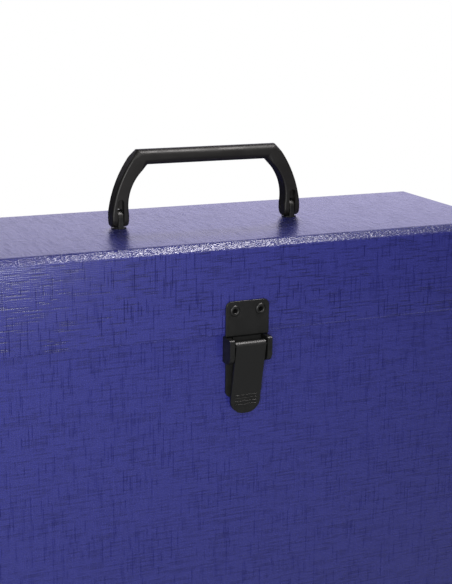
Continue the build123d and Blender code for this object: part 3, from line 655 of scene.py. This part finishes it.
def handle_moulding():
    """The handle: a rounded bar mitred into two bowed legs, with slotted feet and pockets over the lugs."""
    lid_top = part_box("lid_cover")[1].z
    stations = handle_stations()
    sections = [handle_section(s, -1, lid_top) for s in reversed(stations[1:])]
    sections += [handle_section(s, 1, lid_top) for s in stations]
    bm = bmesh.new()
    rings = [[bm.verts.new(p) for p in section] for section in sections]
    for ring in (rings[0], rings[-1]):
        bm.faces.new(ring)
    for near, far in zip(rings, rings[1:]):
        for i in range(len(near)):
            j = (i + 1) % len(near)
            bm.faces.new((near[i], near[j], far[j], far[i]))
    bmesh.ops.recalc_face_normals(bm, faces=bm.faces)
    piece = piece_from(bm, "handle_moulding", "handle", "handle_plastic", "handle")
    deep = 2 * GRIP_HALF_DEPTH
    for side in (-1, 1):
        x = side * FOOT_X
        low, high = x - SLOT_HALF, x + SLOT_HALF
        slot = [(low, -deep), (high, -deep), (high, SLOT_THROUGH), (low, SLOT_THROUGH)]
        centre = SLOT_TOP - SLOT_HALF
        turns = [pi * i / ARCH_STEPS for i in range(ARCH_STEPS + 1)]
        arch = [(x + SLOT_HALF * cos(turn), centre + SLOT_HALF * sin(turn)) for turn in turns]
        pocket = [(high, SLOT_THROUGH - POCKET_LAP), *arch, (low, SLOT_THROUGH - POCKET_LAP)]
        cuts = ((slot, -deep, deep), (pocket, -deep, -SLOT_WEB_HALF), (pocket, SLOT_WEB_HALF, deep))
        for outline, start, end in cuts:
            placed = [(a * MM, b * MM + lid_top) for a, b in outline]
            cut(piece, placed, "Y", start * MM, end * MM)
        bore = circle(0, PIVOT * MM + lid_top, PIN_R * MM)
        cut(piece, bore, "X", (x - BORE_REACH) * MM, (x + BORE_REACH) * MM)
    piece.data.shade_smooth()
    return soften(piece, 0.25 * MM, HANDLE_EDGE_STEPS, HANDLE_EDGE_ANGLE)


def body_paper():
    """The body's cover, its edges softened as paper folds over board."""
    bm = clean_copy("body_cover", 0.01 * MM)
    run = bm.verts.layers.float.new("run")
    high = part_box("body_cover")[1].z
    for vert in bm.verts:
        vert[run] = high - vert.co.z
    bm.normal_update()
    sheet_map(bm, run)
    piece = piece_from(bm, "body_paper", "body", "embossed_paper", "body_cover")
    return soften(piece, 0.35 * MM, EDGE_STEPS)


def soften(piece, width, segments, angle=EDGE_ANGLE):
    """Rounds a piece's hard edges with a bevel and even normals."""
    piece.data.set_sharp_from_angle(angle=pi)
    rounding = piece.modifiers.new("round_edges", "BEVEL")
    rounding.width = width
    rounding.segments = segments
    rounding.limit_method = "ANGLE"
    rounding.angle_limit = radians(angle)
    rounding.harden_normals = False
    even = piece.modifiers.new("even_normals", "WEIGHTED_NORMAL")
    even.keep_sharp = True
    return piece


def softened(node, name, body, slot, width):
    """A CAD piece with its pressed or moulded edges rounded."""
    bm = clean_copy(node)
    piece = piece_from(bm, name, body, slot, node)
    loaded = piece.data.attributes.get("custom_normal")
    if loaded:
        piece.data.attributes.remove(loaded)
    return soften(piece, width, EDGE_STEPS)


# ---------------------------------------------------------------- stage
def camera():
    """The camera at the reference view's angle."""
    a, e, r = (radians(v) for v in (CAMERA_AZIMUTH, CAMERA_ELEVATION, CAMERA_ROLL))
    back = Vector((sin(a) * cos(e), -cos(a) * cos(e), sin(e)))
    level = Vector((cos(a), sin(a), 0))
    upright = back.cross(level)
    right = cos(r) * level + sin(r) * upright
    up = cos(r) * upright - sin(r) * level
    data = bpy.data.cameras.new("camera")
    data.lens = CAMERA_LENS
    data.sensor_width = SENSOR_WIDTH
    data.clip_start = 0.02
    made = bpy.data.objects.new("camera", data)
    made.matrix_world = Matrix.Translation(CAMERA_AT) @ Matrix((right, up, back)).transposed().to_4x4()
    bpy.context.scene.collection.objects.link(made)
    bpy.context.scene.camera = made


def floor():
    """A round pale floor under the box."""
    bm = bmesh.new()
    bmesh.ops.create_circle(bm, cap_ends=True, radius=FLOOR_RADIUS, segments=FLOOR_STEPS)
    mesh = bpy.data.meshes.new("floor")
    bm.to_mesh(mesh)
    bm.free()
    made = bpy.data.objects.new("floor", mesh)
    bpy.context.scene.collection.objects.link(made)
    made.location.z = -FLOOR_DROP
    made.visible_glossy = False
    paint(made, floor_paint())


def softbox(name, place, aim, size, power, colour=(1, 1, 1)):
    """A rectangular softbox at a place, turned to its aim."""
    data = bpy.data.lights.new(name, "AREA")
    data.shape = "RECTANGLE"
    data.size, data.size_y = size
    data.energy = power
    data.color = colour
    made = bpy.data.objects.new(name, data)
    made.location = place
    made.rotation_euler = (Vector(aim) - Vector(place)).to_track_quat("-Z", "Y").to_euler()
    bpy.context.scene.collection.objects.link(made)
    return made


def world():
    """A room bright low down behind the box, dim in front, with a little light above and below on the right.

    The camera itself sees plain white.
    """
    made = bpy.data.worlds.new("studio")
    made.use_nodes = True
    bpy.context.scene.world = made
    tree = made.node_tree
    tree.nodes.clear()
    way = wire(tree, "SeparateXYZ", {0: wire(tree, "TexCoord").outputs["Generated"]})
    x, y, z = (way.outputs[axis] for axis in "XYZ")
    behind = times(tree, ramp(tree, y, 0.1, 0.6), ramp(tree, z, 0.58, 0.34))
    behind = times(tree, behind, ramp(tree, z, -0.06, 0.06))
    behind = times(tree, behind, ramp(tree, x, -0.30, -0.02))
    behind = times(tree, behind, ramp(tree, x, 0.05, 0.45, 0.85, 1.0))
    ahead = times(tree, ramp(tree, y, 0.0, -0.4), ramp(tree, x, 0.62, 0.10, 0.08, 0.42))
    below = times(tree, ramp(tree, z, -0.25, -0.6), ramp(tree, x, 0.25, 0.5, 0.0, 0.5))
    above = times(tree, ramp(tree, z, 0.55, 0.75), ramp(tree, x, 0.45, 0.65, 0.0, 1.2))
    front = plus(tree, plus(tree, ahead, below), plus(tree, above, 0.03))
    tint = blend_colour(tree, behind, (1, 1, 1, 1), (0.79, 0.745, 1.0, 1))
    strength = plus(tree, times(tree, behind, 1.62), front)
    lit = wire(tree, "Background", {"Color": tint, "Strength": strength})
    plain = wire(tree, "Background", {"Color": (1, 1, 1, 1), "Strength": 1.0})
    seen = wire(tree, "LightPath").outputs["Is Camera Ray"]
    mixed = wire(tree, "MixShader", {0: seen, 1: lit.outputs[0], 2: plain.outputs[0]})
    output = tree.nodes.new("ShaderNodeOutputWorld")
    tree.links.new(mixed.outputs[0], output.inputs[0])


camera()
world()
floor()
back = softbox("back", (0.30, 0.68, 1.20), (0, 0, 0.32), (0.35, 0.35), 12)
back.visible_glossy = False
softbox("key", (-0.42, -0.88, 0.42), (0, 0, 0.2), (0.40, 0.35), 7.6)
softbox("front_strip", (-0.14, -0.46, 0.345), (-0.18, 0, 0.27), (0.09, 0.04), 0.50)
gloss_card = softbox("gloss_card", (0.26, -0.24, 1.05), (0, 0, 0.27), (0.36, 0.16), 12.0, (1, 0.96, 0.95))
gloss_card.visible_diffuse = False

lid_linen = embossed_paper("embossed_paper", 1.0)
body_linen = embossed_paper("body_embossed_paper", 0.55)
PAPERS = {
    "lining_paper": plain_paper("lining_paper", (0.60, 0.59, 0.56, 1), (0.70, 0.69, 0.66, 1), 0.82),
    "base_paper": plain_paper("base_paper", (0.020, 0.022, 0.13, 1), (0.030, 0.032, 0.16, 1), 0.7),
}
grip_plastic = moulded_plastic("handle_plastic", (0.0050, 0.0043, 0.0039, 1), 0.50)
lug_plastic = moulded_plastic("lug_plastic", (0.0045, 0.0044, 0.0042, 1), 0.44)
black = painted_steel()
FINISHES = {
    "embossed_paper": lid_linen,
    "handle_plastic": grip_plastic,
    "lug_plastic": lug_plastic,
    "black_steel": black,
    "rivet_steel": black,
    "pin_steel": black,
    "washer_steel": bare_steel("washer_steel", (0.50, 0.49, 0.47, 1), 0.38),
    "greyboard": grey_board(),
    **PAPERS,
}
for subpart in frame["record"]["subparts"]:
    paint(NODES[subpart["node"]], FINISHES[subpart["material_slot"]])

paint(lid_paper(), lid_linen)
paint(body_paper(), body_linen)
paint(handle_moulding(), grip_plastic)
SOFTENED = [
    ("handle_lug_left", "lug_moulding_left", "lid", "lug_plastic", 0.25, lug_plastic),
    ("handle_lug_right", "lug_moulding_right", "lid", "lug_plastic", 0.25, lug_plastic),
    ("catch_plate", "catch_plate_pressing", "lid", "black_steel", 0.3, black),
    ("latch_bracket", "latch_bracket_pressing", "body", "black_steel", 0.35, black),
    ("latch_lever", "latch_lever_pressing", "lever", "black_steel", 0.35, black),
]
for node, name, body, slot, width, finish in SOFTENED:
    paint(softened(node, name, body, slot, width * MM), finish)

bpy.context.scene.view_settings.view_transform = "Standard"
